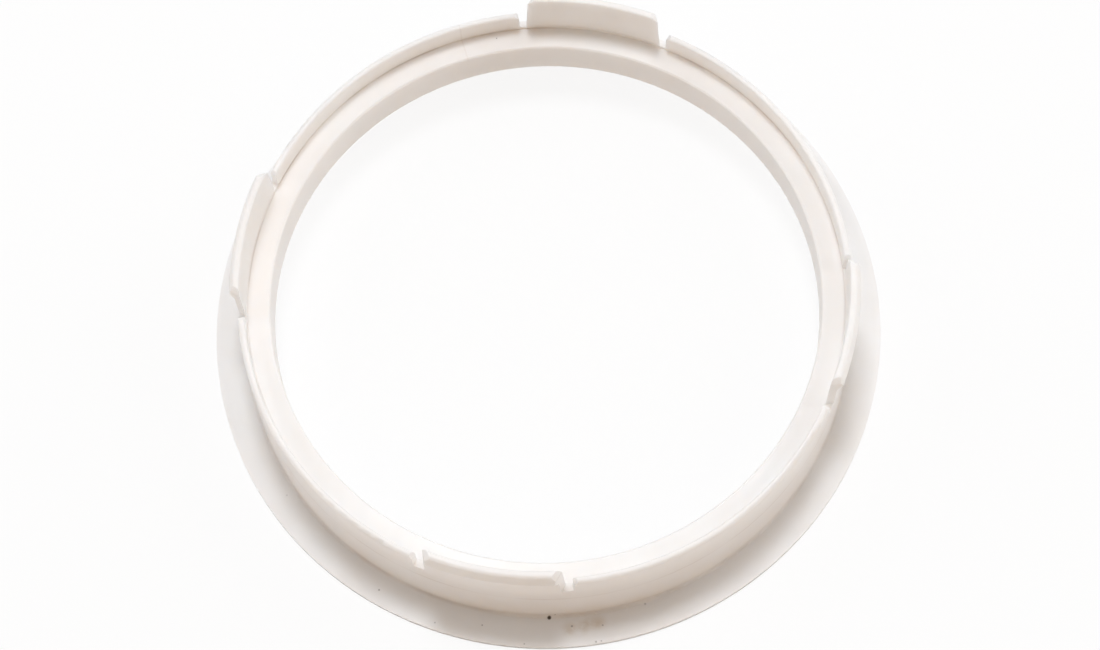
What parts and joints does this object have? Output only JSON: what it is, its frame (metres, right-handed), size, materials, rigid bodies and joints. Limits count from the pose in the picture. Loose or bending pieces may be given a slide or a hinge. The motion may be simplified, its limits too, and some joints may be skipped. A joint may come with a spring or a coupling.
{
  "type": "hub centric ring",
  "caption": "White moulded ring that centres a car wheel on a smaller hub spigot, with a plain bore, a ledge inside a thin upright collar, raised and beaded snap tabs and a thin foot flange.",
  "frame": {"origin": "on the ring's axis, at the flat base of the flange", "axes": "+Z along the axis from the flange to the snap tabs; the tabs are centred on +X, +Y, -X and -Y"},
  "size_m": [0.0704, 0.0704, 0.0144],
  "materials": {
    "white_plastic": "satin, as moulded"
  },
  "bodies": {
    "root": {"hub_centric_ring": "white_plastic"}
  },
  "joints": []
}
